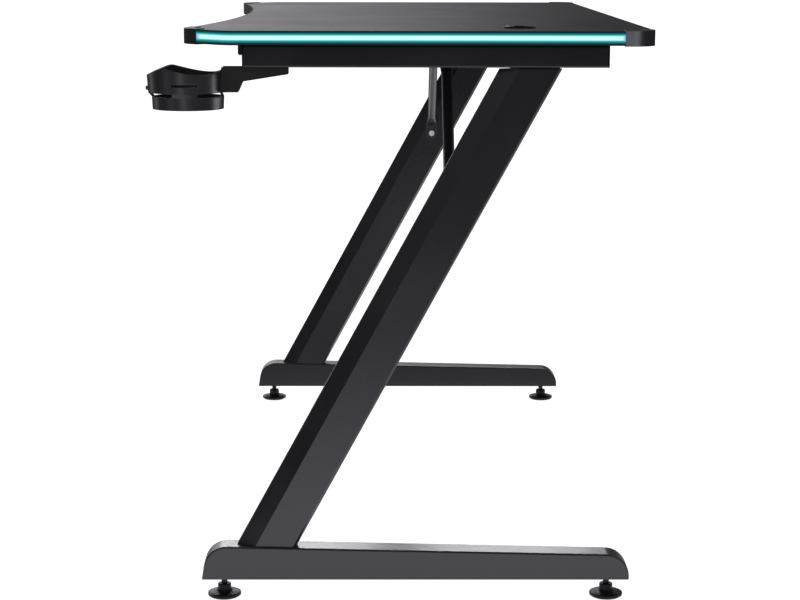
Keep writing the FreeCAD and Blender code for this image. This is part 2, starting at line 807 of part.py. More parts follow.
def beam_end_caps():
    """Plastic plugs in both ends of each top beam."""
    caps = []
    middle = "beam_low + beam_height / 2"
    inside = "(2 * beam_wall + 2 * plug_gap)"
    for side in SIDES.values():
        x = f"{side} * beam_x"
        flange = rounded_rectangle(x, middle, "beam_width", "beam_height", "beam_radius")
        plug = rounded_rectangle(x, middle, f"(beam_width - {inside})", f"(beam_height - {inside})",
                                 "beam_radius - beam_wall")
        for face, inward in (("beam_front", 1), ("beam_back", -1)):
            body = new_body("beam_end_cap")
            seat = f"{face} + {inward} * end_cap_flange"
            tail = f"{seat} + {inward} * end_cap_plug"
            between_y(body, "flange", [flange], *((face, seat) if inward > 0 else (seat, face)))
            between_y(body, "plug", [plug], *((seat, tail) if inward > 0 else (tail, seat)))
            caps.append(body)
    return {"beam_end_caps": group("beam_end_caps", caps)}


def leg_section(x, wall):
    """Give the corners of a leg's level section where it starts, drawn in by a wall."""
    half = f"(leg_thickness / 2 - {wall})"
    nose = f"(leg_nose / 2 - {wall} / 2)"
    front = f"leg_start_y + {wall}"
    bevel = f"leg_start_y + leg_bevel + {wall} / 2"
    rear = f"leg_start_y + leg_depth - leg_rear_rise - {wall}"
    crown = f"({half} * {half} + leg_rear_rise * leg_rear_rise) / (2 * leg_rear_rise)"
    return [
        (f"{x} - {nose}", front), (f"{x} + {nose}", front), (f"{x} + {half}", bevel),
        (f"{x} + {half}", rear, (crown, 1)), (f"{x} - {half}", rear), (f"{x} - {half}", bevel),
    ]


def legs():
    """Slanted steel tubes with a bevelled front and a rounded back, standing on the foot bars."""
    made = {}
    for name, side in SIDES.items():
        x = f"{side} * leg_x"
        blank = new_body(f"leg_blank_{name}")
        section = loops_on(blank, "XY_Plane", "section", [leg_section(x, "0"), leg_section(x, "leg_wall")],
                           "leg_start")
        tube = pad(blank, section, "leg_top - leg_start")
        tube.UseCustomVector = True
        tube.Direction = Vector(0, value("leg_slope"), 1)
        tube.setExpression("Direction.y", formula("leg_slope"))
        below = prism("leg_trim", "YZ_Plane", [foot_top_wedge()], f"{x} - leg_thickness", "2 * leg_thickness")
        start = (f"{side} * (leg_inner - fit_gap)", "cross_y", "brace_screw_z")
        hole = rod("brace_hole", "small_bolt_radius + bolt_gap", "leg_wall + 2 * fit_gap", start,
                   Vector(side, 0, 0))
        made[f"leg_{name}"] = cut(f"leg_{name}", blank, [below, hole])
    return made


def foot_top_wedge():
    """Give the part of a foot bar's profile that lies under its sloping top."""
    return [
        ("foot_crown_y", "foot_clearance"), ("foot_tail_y", "foot_clearance"),
        ("foot_tail_y", "foot_tail_z"), ("foot_crown_y", "foot_crown_z"),
    ]


def leg_bolt_places():
    """Places along Y of the bolts that hold a leg to its beam."""
    return ["leg_bolt_y - leg_bolt_spread / 2", "leg_bolt_y + leg_bolt_spread / 2"]


def leg_plates():
    """Plates welded on the legs' tops, with weld nuts inside the tubes."""
    plates = []
    for side in SIDES.values():
        x = f"{side} * leg_x"
        length = "leg_depth - leg_plate_front - leg_plate_rear"
        sheet_low = (f"{x} - leg_plate_width / 2", "leg_top_front + leg_plate_front", "leg_top")
        members = [box("leg_plate", ("leg_plate_width", length, "leg_plate"), sheet_low)]
        holes = []
        for y in leg_bolt_places():
            members.append(rod("weld_nut", "weld_nut_radius", "weld_nut_height", (x, y, "leg_top"), DOWN))
            holes.append(rod("nut_hole", "frame_bolt_radius + fit_gap",
                             "weld_nut_height + leg_plate + 2 * fit_gap", (x, y, "beam_low + fit_gap"), DOWN))
        plates.append(cut("leg_plate_drilled", fuse("leg_plate_blank", members), holes))
    return {"leg_plates": group("leg_plates", plates)}


def leg_bolts():
    """Bolts inside the beams that pull the legs' plates up against them."""
    bolts = [
        screw("leg_bolt", (f"{side} * leg_x", y, "beam_low + beam_wall"), DOWN, "frame_bolt_radius",
              "beam_wall + leg_plate + weld_nut_height", "frame_bolt_head", "frame_bolt_head_height")
        for side in SIDES.values() for y in leg_bolt_places()
    ]
    return {"leg_bolts": group("leg_bolts", bolts)}


def foot_bars():
    """Pressed steel bars on the floor, open underneath, higher in front than behind."""
    made = {}
    low = "foot_clearance"
    profile = [
        ("foot_front", low),
        ("foot_front + nose_shift", f"{low} + nose_rise", ("foot_end_radius", -1)),
        ("foot_crown_y", "foot_crown_z"),
        ("foot_tail_y", "foot_tail_z", ("foot_end_radius", -1)),
        ("foot_back", f"{low} + tail_low"),
        ("foot_back", low),
    ]
    end_wall = "2 * foot_wall"
    hollow = [
        (f"foot_front + {end_wall}", f"{low} - foot_wall"),
        (f"foot_front + nose_shift + {end_wall}", f"{low} + nose_rise"),
        ("foot_crown_y", "foot_crown_z - foot_wall"),
        ("foot_tail_y", "foot_tail_z - foot_wall"),
        (f"foot_back - {end_wall}", f"{low} + tail_low"),
        (f"foot_back - {end_wall}", f"{low} - foot_wall"),
    ]
    for name, side in SIDES.items():
        label = f"foot_bar_{name}"
        body = new_body(label)
        near = f"{side} * foot_x - foot_width / 2"
        bar = pad(body, loops_on(body, "YZ_Plane", "profile", [profile], near), "foot_width")
        floor = value(low)
        round_edges(body, bar, "foot_edge", lambda edge: upper_rim(edge, floor))
        top = f"{side} * foot_x + foot_width / 2 - foot_wall"
        pocket(body, loops_on(body, "YZ_Plane", "hollow", [hollow], top), "foot_width - 2 * foot_wall")
        made[label] = body
    return made


def upper_rim(edge, floor):
    """Tell whether an edge lies along a side face of a foot bar, above its underside."""
    bounds = edge.BoundBox
    return bounds.XLength < 1e-6 and bounds.ZMax > floor + 1e-6


def foot_places():
    """Names and places of the four levelling feet."""
    return [
        (f"{end}_{name}", f"{side} * foot_x", "pad_front_y" if end == "front" else "pad_back_y")
        for end in ENDS for name, side in SIDES.items()
    ]


def foot_nut_blocks():
    """Threaded blocks welded into the foot bars, which hold the studs."""
    blocks = []
    for _, x, y in foot_places():
        width = "(foot_width - 2 * foot_wall)"
        low = (f"{x} - {width} / 2", f"{y} - nut_block_length / 2", "foot_clearance")
        block = box("nut_block", (width, "nut_block_length", "nut_block_height"), low)
        hole = rod("thread", "stud_radius + thread_gap", "nut_block_height + 2 * fit_gap",
                   (x, y, "foot_clearance - fit_gap"))
        blocks.append(cut("nut_block_drilled", block, [hole]))
    return {"foot_nut_blocks": group("foot_nut_blocks", blocks)}


def levelling_feet():
    """Studs and moulded pads of the four levelling feet."""
    made = {}
    bore = "stud_radius + fit_gap"
    profile = [
        ("0", "0"), ("pad_sole_radius", "0"), ("pad_radius", "pad_rim_low"), ("pad_radius", "pad_rim_high"),
        ("pad_radius - pad_rim_low", "pad_rim_high + pad_rim_low / 2"),
        ("collar_radius + pad_rim_low", "pad_shoulder - pad_rim_low / 2"),
        ("collar_radius", "pad_shoulder + pad_rim_low / 2"),
        ("collar_radius", "pad_top - pad_rim_low / 2"), ("collar_radius - pad_rim_low / 2", "pad_top"),
        (bore, "pad_top"), (bore, "stud_seat"), ("0", "stud_seat"),
    ]
    for name, x, y in foot_places():
        body = new_body(f"foot_pad_{name}")
        revolve(body, loops_on(body, "XZ_Plane", "profile", [profile]))
        put(body, (x, y, "0"))
        made[f"foot_pad_{name}"] = body
        made[f"foot_stud_{name}"] = rod(f"foot_stud_{name}", "stud_radius",
                                        "foot_clearance + stud_reach - stud_seat", (x, y, "stud_seat"))
    return made


def cross_bolt_places():
    """Places along Y of the bolts at each end of the crossbeam."""
    return ["cross_y - cross_bolt_spread / 2", "cross_y + cross_bolt_spread / 2"]


def crossbeam():
    """Tube between the top beams, with its welded end plates and their bolts."""
    middle = "beam_low + beam_height / 2"
    blank = new_body("cross_blank")
    outer = rounded_rectangle("cross_y", middle, "cross_width", "beam_height", "beam_radius")
    inner = rounded_rectangle("cross_y", middle, "(cross_width - 2 * beam_wall)",
                              "(beam_height - 2 * beam_wall)", "beam_radius - beam_wall")
    pad(blank, loops_on(blank, "YZ_Plane", "section", [outer, inner], "-cross_half"), "2 * cross_half")
    below = "beam_low - fit_gap"
    holes = []
    plates = []
    bolts = []
    for side in SIDES.values():
        holes += desk_screw_holes(f"{side} * cross_screw_x", "cross_y")
        holes.append(rod("brace_hole", "small_bolt_radius + bolt_gap", "beam_wall + 2 * fit_gap",
                         (f"{side} * (brace_top_x - brace_screw_offset)", "cross_y", below)))
        outward = Vector(side, 0, 0)
        height = "(beam_height - 2 * cross_plate_margin)"
        low = (f"{side} * (cross_half + cross_plate / 2) - cross_plate / 2",
               "cross_y - cross_plate_length / 2", "beam_low + cross_plate_margin")
        plate = box("cross_plate", ("cross_plate", "cross_plate_length", height), low)
        plate_holes = []
        for y in cross_bolt_places():
            start = (f"{side} * (cross_half - fit_gap)", y, middle)
            plate_holes.append(rod("plate_hole", "small_bolt_radius + bolt_gap", "cross_plate + 2 * fit_gap",
                                   start, outward))
            bolts.append(screw("cross_bolt", (f"{side} * cross_half", y, middle), outward,
                               "small_bolt_radius", "cross_plate + beam_wall + small_bolt_bite",
                               "small_bolt_head", "small_bolt_head_height"))
        plates.append(cut("cross_plate_drilled", plate, plate_holes))
    return {
        "crossbeam": cut("crossbeam", blank, holes),
        "crossbeam_plates": group("crossbeam_plates", plates),
        "crossbeam_bolts": group("crossbeam_bolts", bolts),
    }


def braces():
    """Round diagonal bars with flattened, screwed ends, from each leg up to the crossbeam."""
    made = {}
    screws = []
    round_loop = rounded_rectangle("0", "0", "2 * brace_radius", "2 * brace_radius", "brace_radius - fit_gap")
    flat_loop = rounded_rectangle("0", "0", "brace_tab", "brace_tab_width", "brace_tab / 2 - fit_gap")
    half = "brace_tab_width / 2"
    for name, side in SIDES.items():
        bar = new_body(f"brace_bar_{name}")
        pad(bar, loops_on(bar, "XY_Plane", "round", [round_loop], "brace_flat_run"),
            "brace_length - 2 * brace_flat_run")
        for end, flat_at, round_at in (("low", "0", "brace_flat_run"),
                                       ("high", "brace_length", "brace_length - brace_flat_run")):
            loft = bar.newObject("PartDesign::AdditiveLoft", f"brace_{end}_{name}")
            loft.Profile = loops_on(bar, "XY_Plane", end + "_round", [round_loop], round_at)
            loft.Sections = [loops_on(bar, "XY_Plane", end + "_flat", [flat_loop], flat_at)]
        put(bar, (f"{side} * brace_x", "cross_y", "brace_low"), FreeCAD.Rotation(Vector(0, 1, 0), -45 * side))
        screw_x = f"{side} * (brace_top_x - brace_screw_offset)"
        bend_x = f"{side} * (brace_top_x + brace_tab / 2)"
        low_tab = prism("brace_low_tab", "YZ_Plane", [[
            (f"cross_y - {half}", "brace_low + brace_tab / 2"),
            (f"cross_y - {half}", "brace_screw_z", (half, 1)),
            ("cross_y", f"brace_screw_z - {half}", (half, 1)),
            (f"cross_y + {half}", "brace_screw_z"), (f"cross_y + {half}", "brace_low + brace_tab / 2"),
        ]], f"{side} * brace_x - brace_tab / 2", "brace_tab")
        high_tab = prism("brace_high_tab", "XY_Plane", [[
            (bend_x, f"cross_y + {half}"), (screw_x, f"cross_y + {half}", (half, side)),
            (f"{screw_x} - {side} * {half}", "cross_y", (half, side)), (screw_x, f"cross_y - {half}"),
            (bend_x, f"cross_y - {half}"),
        ]], "beam_low - brace_tab", "brace_tab")
        outward = Vector(side, 0, 0)
        low_seat = (f"{side} * (leg_inner - brace_tab)", "cross_y", "brace_screw_z")
        high_seat = (screw_x, "cross_y", "beam_low - brace_tab")
        through = "brace_tab"
        holes = [rod("tab_hole", "small_bolt_radius + bolt_gap", through, low_seat, outward),
                 rod("tab_hole", "small_bolt_radius + bolt_gap", through, high_seat)]
        made[f"brace_{name}"] = cut(f"brace_{name}", fuse("brace_blank", [bar, low_tab, high_tab]), holes)
        bite = "brace_tab + leg_wall + small_bolt_bite"
        for seat, way in ((low_seat, outward), (high_seat, UP)):
            screws.append(screw("brace_screw", seat, way, "small_bolt_radius", bite, "small_bolt_head",
                                "small_bolt_head_height"))
    made["brace_screws"] = group("brace_screws", screws)
    return made


def sector(first_angle, last_angle):
    """Give a ring sector that crosses the cup's wall between two angles."""
    inner = "(cup_base_radius - 2 * cup_wall)"
    outer = "(cup_rim_radius + cup_lean + cup_wall)"
    return [
        (f"{inner} * cos({first_angle})", f"{inner} * sin({first_angle})"),
        (f"{outer} * cos({first_angle})", f"{outer} * sin({first_angle})", (outer, 1)),
        (f"{outer} * cos({last_angle})", f"{outer} * sin({last_angle})"),
        (f"{inner} * cos({last_angle})", f"{inner} * sin({last_angle})", (inner, -1)),
    ]


def cup_loft(body, kind, allowance, floor):
    """Add or take away the cup's round form, whose upper ring stands forward of the lower one."""
    levels = (
        ("base", "cup_base_radius", "0", floor),
        ("ring", "cup_ring_radius", "0", "cup_low + cup_slot_low"),
        ("collar", "cup_collar_radius", "cup_lean", "cup_low + cup_collar"),
        ("rim", "cup_rim_radius", "cup_lean", "beam_low"),
    )
    sections = []
    for level, radius, shift, height in levels:
        section = new_sketch(body, "XY_Plane", f"{kind}_{level}", height)
        draw_circle(section, shift, "0", f"{radius} + ({allowance})")
        sections.append(section)
    loft = body.newObject(f"PartDesign::{kind}Loft", f"{body.Name}_{kind}")
    loft.Profile = sections[0]
    loft.Sections = sections[1:]
    loft.Ruled = True


def rim_scoops():
    """Give round bars that cut the waves of the cup's rim, the deepest one in front."""
    scoops = []
    for angle, dip in ((-90, "cup_front_dip"), (30, "cup_side_dip"), (150, "cup_side_dip")):
        bend = f"((cup_rim_radius * sin(60))^2 + {dip}^2) / (2 * {dip})"
        outward = Vector(math.cos(math.radians(angle)), math.sin(math.radians(angle)), 0)
        scoops.append(rod("rim_scoop", bend, "cup_rim_radius + cup_lean + cup_wall",
                          ("beam_x", "cup_y", f"beam_low - {dip} + {bend}"), outward))
    return scoops


def cup_holder():
    """Cup with a wavy rim and slotted wall, on an arm under the right beam."""
    to_front = FreeCAD.Rotation(UP, -90)
    cup = new_body("cup_blank")
    cup_loft(cup, "Additive", "0", "cup_low")
    cup_loft(cup, "Subtractive", "-cup_wall", "cup_low + cup_floor")
    knob = new_sketch(cup, "YZ_Plane", "knob", "cup_collar_radius + cup_lean - cup_wall / 2")
    draw_circle(knob, "0", "cup_low + cup_knob_height", "cup_knob_radius")
    pad(cup, knob, "cup_wall / 2 + cup_knob_reach")
    near_end = "90 - bridge_half_angle"
    far_end = "90 + bridge_half_angle"
    slots = [("end_bridge_half_angle", near_end), (far_end, "180 - end_bridge_half_angle")]
    slots += [(f"-({last})", f"-({first})") for first, last in slots]
    gaps = loops_on(cup, "XY_Plane", "slots", [sector(*slot) for slot in slots],
                    "cup_low + cup_collar")
    pocket(cup, gaps, "cup_slot_height")
    windows = [sector(near_end, far_end), sector(f"-({far_end})", f"-({near_end})")]
    sills = loops_on(cup, "XY_Plane", "windows", windows, "cup_low + cup_window_low + cup_window_height")
    pocket(cup, sills, "cup_window_height")
    put(cup, ("beam_x", "cup_y", "0"), to_front)
    back = Vector(0, 1, 0)
    seats = [(f"beam_x + {step} * cup_screw_spread / 2", "cup_screw_y", "cup_low + cup_screw_height")
             for step in (-1, 1)]
    bite = "cup_wall + arm_screw_bite"
    holes = [rod("wall_hole", "arm_screw_radius + bolt_gap", bite, seat, back) for seat in seats]
    arm_front = "cup_y + cup_base_radius - 3 * cup_wall"
    profile = [
        ("arm_rear", "beam_low"), ("arm_rear", "beam_low - arm_tip"), ("beam_front", "beam_low - arm_root"),
        ("beam_front - arm_step_run", "beam_low - arm_drop"), (arm_front, "beam_low - arm_drop"),
        (arm_front, "beam_low"),
    ]
    blank = prism("arm_blank", "YZ_Plane", [profile], "beam_x - arm_width / 2", "arm_width")
    seat = new_body("cup_seat")
    cup_loft(seat, "Additive", "fit_gap", "cup_low")
    put(seat, ("beam_x", "cup_y", "0"), to_front)
    threads = [rod("arm_thread", "arm_screw_radius + fit_gap", f"{bite} + fit_gap", place, back)
               for place in seats]
    screws = [screw("cup_screw", place, back, "arm_screw_radius", bite, "arm_screw_head",
                    "arm_screw_head_height") for place in seats]
    return {
        "cup_holder_cup": cut("cup_holder_cup", cup, [*rim_scoops(), *holes]),
        "cup_holder_arm": cut("cup_holder_arm", blank, [seat, *threads, *arm_screw_holes("beam_x")]),
        "cup_holder_screws": group("cup_holder_screws", screws + arm_screws("beam_x")),
    }


def arm_screw_places():
    """Places along Y of the two screws that hold an arm under its beam."""
    return ["arm_screw_y", "arm_screw_y - arm_screw_spread"]


def arm_screw_holes(x):
    """Give the screw holes and head recesses of an arm under a beam."""
    holes = []
    seat = "beam_low - arm_screw_cover"
    for y in arm_screw_places():
        holes.append(rod("arm_hole", "arm_screw_radius + bolt_gap", "arm_screw_cover", (x, y, seat)))
        holes.append(rod("arm_recess", "arm_screw_head + head_gap", "arm_drop", (x, y, seat), DOWN))
    return holes


def arm_screws(x):
    """Give the two screws that hold an arm under its beam."""
    return [
        screw("arm_screw", (x, y, "beam_low - arm_screw_cover"), UP, "arm_screw_radius",
              "arm_screw_cover + beam_wall + arm_screw_bite", "arm_screw_head", "arm_screw_head_height")
        for y in arm_screw_places()
    ]


def headphone_hook():
    """Moulded hook under the left beam, with an upturned lip in front."""
    low = "hook_low"
    saddle = "hook_low + hook_floor"
    outer = "hook_outer_radius"
    inner = "hook_inner_radius"
    lip_top = "hook_low + hook_lip_height - hook_lip / 2"
    lip_back = "hook_front + hook_lip"
    profile = [
        ("arm_rear", "beam_low"), ("arm_rear", "beam_low - arm_tip"), ("beam_front", "beam_low - arm_root"),
        ("hook_shank_rear", "beam_low - arm_drop"),
        ("hook_shank_rear", f"{low} + {outer}", (outer, -1)), (f"hook_shank_rear - {outer}", low),
        (f"hook_front + {outer}", low, (outer, -1)), ("hook_front", f"{low} + {outer}"),
        ("hook_front", lip_top, ("hook_lip / 2", -1)),
        ("hook_front + hook_lip / 2", f"{lip_top} + hook_lip / 2", ("hook_lip / 2", -1)),
        (lip_back, lip_top), (lip_back, f"{saddle} + {inner}", (inner, 1)), (f"{lip_back} + {inner}", saddle),
        (f"hook_shank_front - {inner}", saddle, (inner, 1)), ("hook_shank_front", f"{saddle} + {inner}"),
        ("hook_shank_front", "beam_low"),
    ]
    blank = prism("hook_blank", "YZ_Plane", [profile], "-beam_x - hook_width / 2", "hook_width")
    hook = cut("headphone_hook", blank, arm_screw_holes("-beam_x"))
    return {"headphone_hook": hook, "hook_screws": group("hook_screws", arm_screws("-beam_x"))}


def controller_screw_places():
    """Places of the screws through the controller's ears."""
    return [(f"controller_x + {step} * (controller_length + controller_ear) / 2", "controller_y")
            for step in (-1, 1)]


def controller():
    """Box under the board that feeds the lit edges: housing, circuit, push button and power inlet."""
    wall = "controller_wall"
    left = "controller_x - controller_length / 2"
    shell = box("controller_shell", ("controller_length", "controller_depth", "controller_height"),
                (left, "controller_front", "controller_low"))
    hollow = box("controller_hollow",
                 ("controller_length - 2 * controller_wall", "controller_depth - 2 * controller_wall",
                  "controller_height"),
                 (f"{left} + {wall}", "controller_front + controller_wall", f"controller_low + {wall}"))
    ears = box("controller_ears",
               ("controller_length + 2 * controller_ear", "controller_depth / 2", "controller_ear_thickness"),
               (f"{left} - controller_ear", "controller_y - controller_depth / 4",
                "board_low - controller_ear_thickness"))
    inward = Vector(0, 1, 0)
    button_at = ("controller_x", "controller_front", "button_z")
    inlet_at = ("controller_x + controller_length / 4", "controller_back", "inlet_z")
    openings = [hollow, rod("button_hole", "button_radius + button_gap", wall, button_at, inward),
                rod("inlet_hole", "inlet_radius + fit_gap", wall, inlet_at, -inward)]
    openings += [rod("ear_hole", "tiny_screw_radius + bolt_gap", "controller_ear_thickness",
                     (x, y, "board_low - controller_ear_thickness")) for x, y in controller_screw_places()]
    circuit_width = "(controller_length - 2 * controller_wall - 2 * circuit_gap)"
    circuit_left = f"controller_x - {circuit_width} / 2"
    circuit_back = "(controller_back - controller_wall - circuit_gap)"
    posts = [rod("circuit_post", f"{wall}", "circuit_post",
                 (f"controller_x + {step} * {circuit_width} / 3", f"{circuit_back} - circuit_post * 2",
                  f"controller_low + {wall}")) for step in (-1, 1)]
    cleared = cut("controller_cleared", fuse("controller_walls", [shell, ears]), openings)
    board = box("circuit", (circuit_width, f"{circuit_back} - circuit_front", "circuit_thickness"),
                (circuit_left, "circuit_front", "circuit_low"))
    switch = box("circuit_switch", ("switch_size", "switch_height", "switch_size"),
                 ("controller_x - switch_size / 2", "circuit_front", "circuit_top"))
    press = rod("button_press", "button_radius", "button_proud + controller_wall + fit_gap + button_flange",
                ("controller_x", "controller_front - button_proud", "button_z"), inward)
    flange = rod("button_rim", "button_radius + button_flange_rim", "button_flange",
                 ("controller_x", "button_inside + fit_gap", "button_z"), inward)
    jack = rod("inlet_body", "inlet_radius", "inlet_depth", inlet_at, -inward)
    bore = rod("inlet_bore", "inlet_bore", "inlet_depth - controller_wall", inlet_at, -inward)
    pin = rod("inlet_pin", "inlet_pin", "inlet_depth", inlet_at, -inward)
    screws = [
        screw("controller_screw", (x, y, "board_low - controller_ear_thickness"), UP, "tiny_screw_radius",
              "controller_ear_thickness + tiny_screw_bite", "tiny_screw_head", "tiny_screw_head_height")
        for x, y in controller_screw_places()
    ]
    return {
        "controller_housing": fuse("controller_housing", [cleared, *posts]),
        "controller_board": fuse("controller_board", [board, switch]),
        "controller_button": fuse("controller_button", [press, flange]),
        "dc_inlet": fuse("dc_inlet", [cut("inlet_bored", jack, [bore]), pin]),
        "controller_screws": group("controller_screws", screws),
    }


BUILDERS = (
    desktop_board, edge_bands, corner_caps, lit_edges, cable_grommet, desktop_screws, top_beams,
    beam_end_caps, legs, leg_plates, leg_bolts, foot_bars, foot_nut_blocks, levelling_feet, crossbeam,
    braces, cup_holder, headphone_hook, controller,
)


def build_all():
    """Build every piece and give each the label that names its file."""
    made = {}
    for build in BUILDERS:
        made.update(build())
    for label, thing in made.items():
        thing.Label = label
    doc.recompute()
    return made


def check(made):
    """Stop unless every feature is sound, every cut took something away and every piece is whole."""
    faults = []
    for thing in doc.Objects:
        if {"Invalid", "Error"} & set(thing.State):
            faults.append(f"{thing.Name} failed: {thing.getStatusString()}")
        elif thing.TypeId == "PartDesign::Pocket" and not thing.BaseFeature.Shape.isNull():
            if thing.BaseFeature.Shape.Volume - thing.Shape.Volume < 1:
                faults.append(f"{thing.Name} cut nothing")
    for label, thing in made.items():
        if thing.Label != label:
            faults.append(f"{label} is not unique")
        if thing.Shape.isNull() or not thing.Shape.isValid() or not thing.Shape.Solids:
            faults.append(f"{label} is not a sound solid")
    if faults:
        raise ValueError("; ".join(faults))


def export(made):
    """Write each piece to its own file."""
    os.makedirs("parts", exist_ok=True)
    for label, thing in made.items():
        thing.Shape.exportStep(f"parts/{label}.step")


nodes = build_all()
check(nodes)
export(nodes)
print(f"{len(nodes)} pieces written")
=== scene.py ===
"""Dress the gaming desk: materials, studio light and the photo's camera."""
import json
import math

import bpy
from mathutils import Matrix, Vector


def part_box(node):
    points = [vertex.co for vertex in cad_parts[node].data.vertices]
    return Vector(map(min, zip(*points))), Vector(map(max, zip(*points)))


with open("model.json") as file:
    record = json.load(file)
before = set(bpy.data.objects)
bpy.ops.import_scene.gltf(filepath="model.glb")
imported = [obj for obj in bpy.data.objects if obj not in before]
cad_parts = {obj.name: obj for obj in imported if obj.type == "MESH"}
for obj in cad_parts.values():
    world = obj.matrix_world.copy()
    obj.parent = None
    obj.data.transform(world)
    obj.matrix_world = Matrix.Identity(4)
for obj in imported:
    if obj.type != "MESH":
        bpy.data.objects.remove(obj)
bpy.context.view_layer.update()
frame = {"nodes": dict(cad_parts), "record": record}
nodes = frame["nodes"]
subparts = frame["record"]["subparts"]
scene = bpy.context.scene
scene.view_settings.view_transform = "Standard"

# Photo camera: width and focal length in pixels, sensor in millimetres, places in metres.
IMAGE_WIDTH = 800
FOCAL_PIXELS = 1969.03
SENSOR_WIDTH = 36.0
CAMERA_PLACE = Vector((3.06856, -0.03593, 0.85079))
CAMERA_PITCH = math.radians(10.3007)
CAMERA_YAW = math.radians(0.3216)
CAMERA_ROLL = math.radians(0.1022)
NEAREST_SEEN = 0.05
FARTHEST_SEEN = 300.0

# Desk places that the materials and the lamps refer to, in metres.
CUP_PLACE = sum((Vector(corner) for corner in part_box("cup_holder_cup")), Vector()) / 2
DESK_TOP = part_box("desktop_board")[1][2]
LIGHT_LOW, LIGHT_HIGH = (corner[2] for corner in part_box("led_diffuser_right"))
LIGHT_FRONT, LIGHT_BACK = (corner[1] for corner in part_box("led_diffuser_right"))
LOWER_LIP = 0.0054
DESK_MIDDLE = (0.0, 0.0, 0.4)
RIGHT_FOOT_PLACE = (0.6, -0.15, 0.05)
REAR_CAP_PLACE = (0.6, 0.27, 0.73)

# Brightness of the floor's painted glow along X as the desk sees it: painted shade below the desk, painted
# light beside it, dark far before it.
FLOOR_LEVELS = [(-3.0, 0.05), (-1.2, 0.8), (-0.8, 1.0), (-0.55, 1.0), (-0.42, 0.3), (0.35, 0.3), (0.7, 1.0),
                (1.0, 1.0), (2.8, 0.15)]

# Distance from the middle along Y over which that painted glow fades, and what is left of it there.
FLOOR_FADE = (0.5, 1.6)
FLOOR_FAINT = 0.1

# The floor as the camera sees it: nearly white by itself, with a grey that the desk can shade.
FLOOR_REACH = 90.0
FLOOR_GLOW = 0.95
FLOOR_GREY = (0.5, 0.5, 0.5, 1.0)

# Brightness of the studio that reflections see, by the part of their direction along Y.
STUDIO_LEVELS = [(-1.0, 0.15), (-0.6, 0.2), (-0.35, 1.0), (-0.1, 0.85), (0.0, 0.46), (0.06, 0.17),
                 (0.1, 0.04)]
NEAR_WALL_SHARE = 0.06
CEILING_LEVEL = 0.4
UPPER_WALL_LEVEL = 0.35
SOFT_LEVEL = 0.4

# Where the parts of the studio begin and end, as parts of a direction of length one.
NEAR_WALL_FADE = (-0.2, 0.2)
CEILING_RISE = (0.35, 0.8)
CEILING_FADE = (-0.2, 0.25)
UPPER_WALL_RISE = (0.2, 0.4)
BACK_WALL_RISE = (0.2, 0.4)
CORNER_RISE = (0.25, 0.45)
CORNER_FADE = (-0.35, -0.15)

# Light colours: plain white, the slightly cool studio, and the cool sheen of black paint and plastic.
WHITE = (1.0, 1.0, 1.0, 1.0)
COOL_STUDIO = (0.96, 0.95, 1.0, 1.0)
COOL_SHEEN = (0.9, 0.88, 1.0, 1.0)

# Blacks that several pieces share.
JET = (0.012, 0.012, 0.013)
SOOT = (0.015, 0.015, 0.016)
GRAPHITE = (0.019, 0.019, 0.021)

# Range of a noise's grey value that the materials use, and how rough the noise is.
NOISE_LOW = 0.3
NOISE_HIGH = 0.7
NOISE_ROUGHNESS = 0.55
BEVEL_SAMPLES = 6

# Lit strip: colours of its middle, its long edges and its ends, and how far in the ends reach.
STRIP_MIDDLE = (0.55, 0.98, 0.98)
STRIP_EDGE = (0.02, 0.34, 0.36)
STRIP_END = (0.1, 0.4, 0.62)
STRIP_STRENGTH = 1.1
STRIP_FRONT_END = 0.006
STRIP_BACK_END = 0.004

# Painted glow on the channel's lips, in place of the strip's light falling on them, from their far edges to
# the strip.
LIP_PAINTED_GLOW = [(0.0, (0.0, 0.004, 0.005)), (0.45, (0.0, 0.03, 0.033)), (1.0, (0.02, 0.3, 0.31))]

# Desktop weave: thread width in metres, threads passed over at a time, and colours from low to high.
THREAD = 0.0022
TWILL = 2.0
WEAVE_COLORS = [(0.0, JET), (0.5, (0.032, 0.032, 0.034))]

# Light tape: distance from chip to chip in metres, half a chip's share of it, and colours.
CHIP_STEP = 0.0166
CHIP_SHARE = 0.15
TAPE_COLORS = [(0.0, (0.75, 0.78, 0.76)), (1.0, (0.8, 0.72, 0.3))]

# Slots of the pieces that the small lamps light.
FOOT_SLOTS = ("foot_paint", "pad_plastic", "stud_steel")
CAP_SLOTS = ("cap_plastic", "fastener_steel")
CUP_SLOTS = ("cup_plastic", "arm_plastic")

# Lamps: name, place, target, size in metres, power in watts, and slots, where none stands for all.
LAMPS = [
    ("high_box", (-2.5, -2.0, 2.6), DESK_MIDDLE, (2.0, 2.0), 25.0, ()),
    ("low_strip", (-1.3, -0.15, 0.657), RIGHT_FOOT_PLACE, (1.24, 0.155), 6.6, FOOT_SLOTS),
    ("cap_box", (3.2, 1.1, 0.62), REAR_CAP_PLACE, (1.8, 0.3), 13.5, CAP_SLOTS),
    ("front_box", (2.1, -2.2, 0.5), CUP_PLACE, (0.5, 0.4), 1.0, CUP_SLOTS),
    ("left_box", (-0.9, -2.9, 0.35), CUP_PLACE, (1.0, 0.5), 1.5, CUP_SLOTS),
    ("right_box", (-0.3, 2.3, 0.3), CUP_PLACE, (1.4, 0.5), 9.0, CUP_SLOTS),
    ("cup_box", (2.9, -0.7, 0.4), CUP_PLACE, (0.5, 0.4), 2.0, CUP_SLOTS),
]


